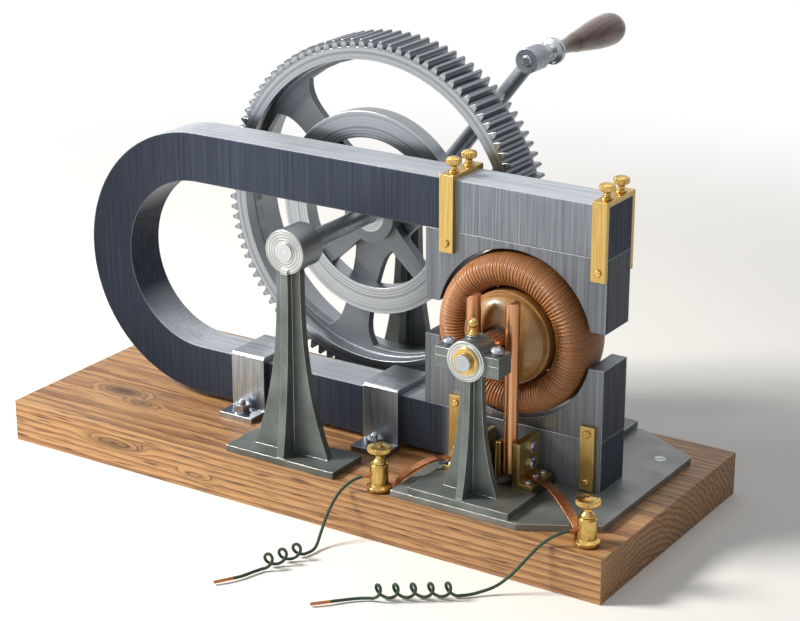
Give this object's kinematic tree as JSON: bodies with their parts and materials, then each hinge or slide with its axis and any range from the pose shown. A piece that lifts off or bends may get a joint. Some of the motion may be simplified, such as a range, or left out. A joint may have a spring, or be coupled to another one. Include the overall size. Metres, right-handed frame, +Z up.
{
  "type": "hand-cranked magneto-electric machine",
  "caption": "Hand-cranked generator: a toothed wheel spins a wound ring armature between the poles of a lying horseshoe magnet, on a wooden base with two terminals.",
  "frame": {"origin": "middle of the base board's underside", "axes": "+X along the base towards the pole shoes, +Y away from the viewer towards the crank, +Z up"},
  "size_m": [0.6, 0.5401, 0.3765],
  "materials": {
    "base_wood": "oiled",
    "packing_wood": "raw",
    "grip_wood": "polished",
    "magnet_steel": "satin japan",
    "pole_iron": "satin japan",
    "bed_iron": "machined",
    "pillar_iron": "painted",
    "saddle_steel": "bright",
    "gear_iron": "machined",
    "bright_steel": "turned",
    "brass": "lacquered",
    "copper": "bare copper",
    "ebonite": "hard rubber",
    "covered_wire": "silk covered copper wire",
    "core_iron": "varnished iron wire",
    "hub_boxwood": "turned and polished"
  },
  "bodies": {
    "stand": {"base_board": "base_wood", "bed_plate": "bed_iron", "bed_plate_screws": "bright_steel", "horseshoe_magnet": "magnet_steel", "upper_pole_shoe": "pole_iron", "lower_pole_shoe": "pole_iron", "pole_strap_left": "brass", "pole_strap_right": "brass", "strap_thumb_screws": "brass", "strap_side_screws": "brass", "tie_plates_left": "brass", "tie_plates_right": "brass", "tie_plate_screws": "brass", "magnet_saddle_left": "saddle_steel", "magnet_saddle_right": "saddle_steel", "saddle_bolts": "bright_steel", "magnet_packing": "packing_wood", "gear_pillar_front": "pillar_iron", "gear_pillar_rear": "pillar_iron", "pillar_bolts": "bright_steel", "bearing_pillar_front": "pillar_iron", "bearing_pillar_rear": "pillar_iron", "bearing_cap_front": "pillar_iron", "bearing_cap_rear": "pillar_iron", "bearing_bush_front": "brass", "bearing_bush_rear": "brass", "bearing_cap_screws": "bright_steel", "oil_cups": "brass", "brush_bracket_left": "brass", "brush_bracket_right": "brass", "bracket_pads": "ebonite", "brush_jaws": "brass", "brush_left": "copper", "brush_right": "copper", "bracket_screws": "bright_steel", "jaw_screws": "bright_steel", "copper_strip_left": "copper", "copper_strip_right": "copper", "terminal_post_left": "brass", "terminal_post_right": "brass", "lead_left": "copper", "lead_right": "copper"},
    "crank": {"gear_shaft": "bright_steel", "drive_gear": "gear_iron", "gear_spider": "gear_iron", "hub_pins": "bright_steel", "crank_arm": "gear_iron", "handle_spindle": "bright_steel"},
    "grip": {"handle_grip": "grip_wood"},
    "armature": {"armature_shaft": "bright_steel", "armature_core": "core_iron", "armature_winding": "covered_wire", "armature_hub": "hub_boxwood", "commutator_sleeve": "ebonite", "commutator_bars": "copper", "pinion": "bright_steel", "pinion_pin": "bright_steel"},
    "clamp_screw_left": {"terminal_screw_left": "brass"},
    "clamp_screw_right": {"terminal_screw_right": "brass"}
  },
  "joints": [
    {"name": "crank_turn", "type": "hinge", "parent": "stand", "child": "crank", "pos_m": [-0.01373, 0, 0.2235], "axis": [0, 1, 0], "continuous": true},
    {"name": "armature_spin", "type": "hinge", "parent": "stand", "child": "armature", "pos_m": [0.163, 0, 0.1655], "axis": [0, 1, 0], "continuous": true},
    {"name": "grip_spin", "type": "hinge", "parent": "crank", "child": "grip", "pos_m": [0.09086, 0, 0.35498], "axis": [0, 1, 0], "continuous": true},
    {"name": "clamp_left_turn", "type": "hinge", "parent": "stand", "child": "clamp_screw_left", "pos_m": [0.085, -0.106, 0.07], "axis": [0, 0, 1], "range_deg": [0, 720]},
    {"name": "clamp_right_turn", "type": "hinge", "parent": "stand", "child": "clamp_screw_right", "pos_m": [0.277, -0.104, 0.07], "axis": [0, 0, 1], "range_deg": [0, 720]}
  ],
  "couplings": [
    {"joint": "armature_spin", "follows": "crank_turn", "ratio": -4.1667}
  ]
}
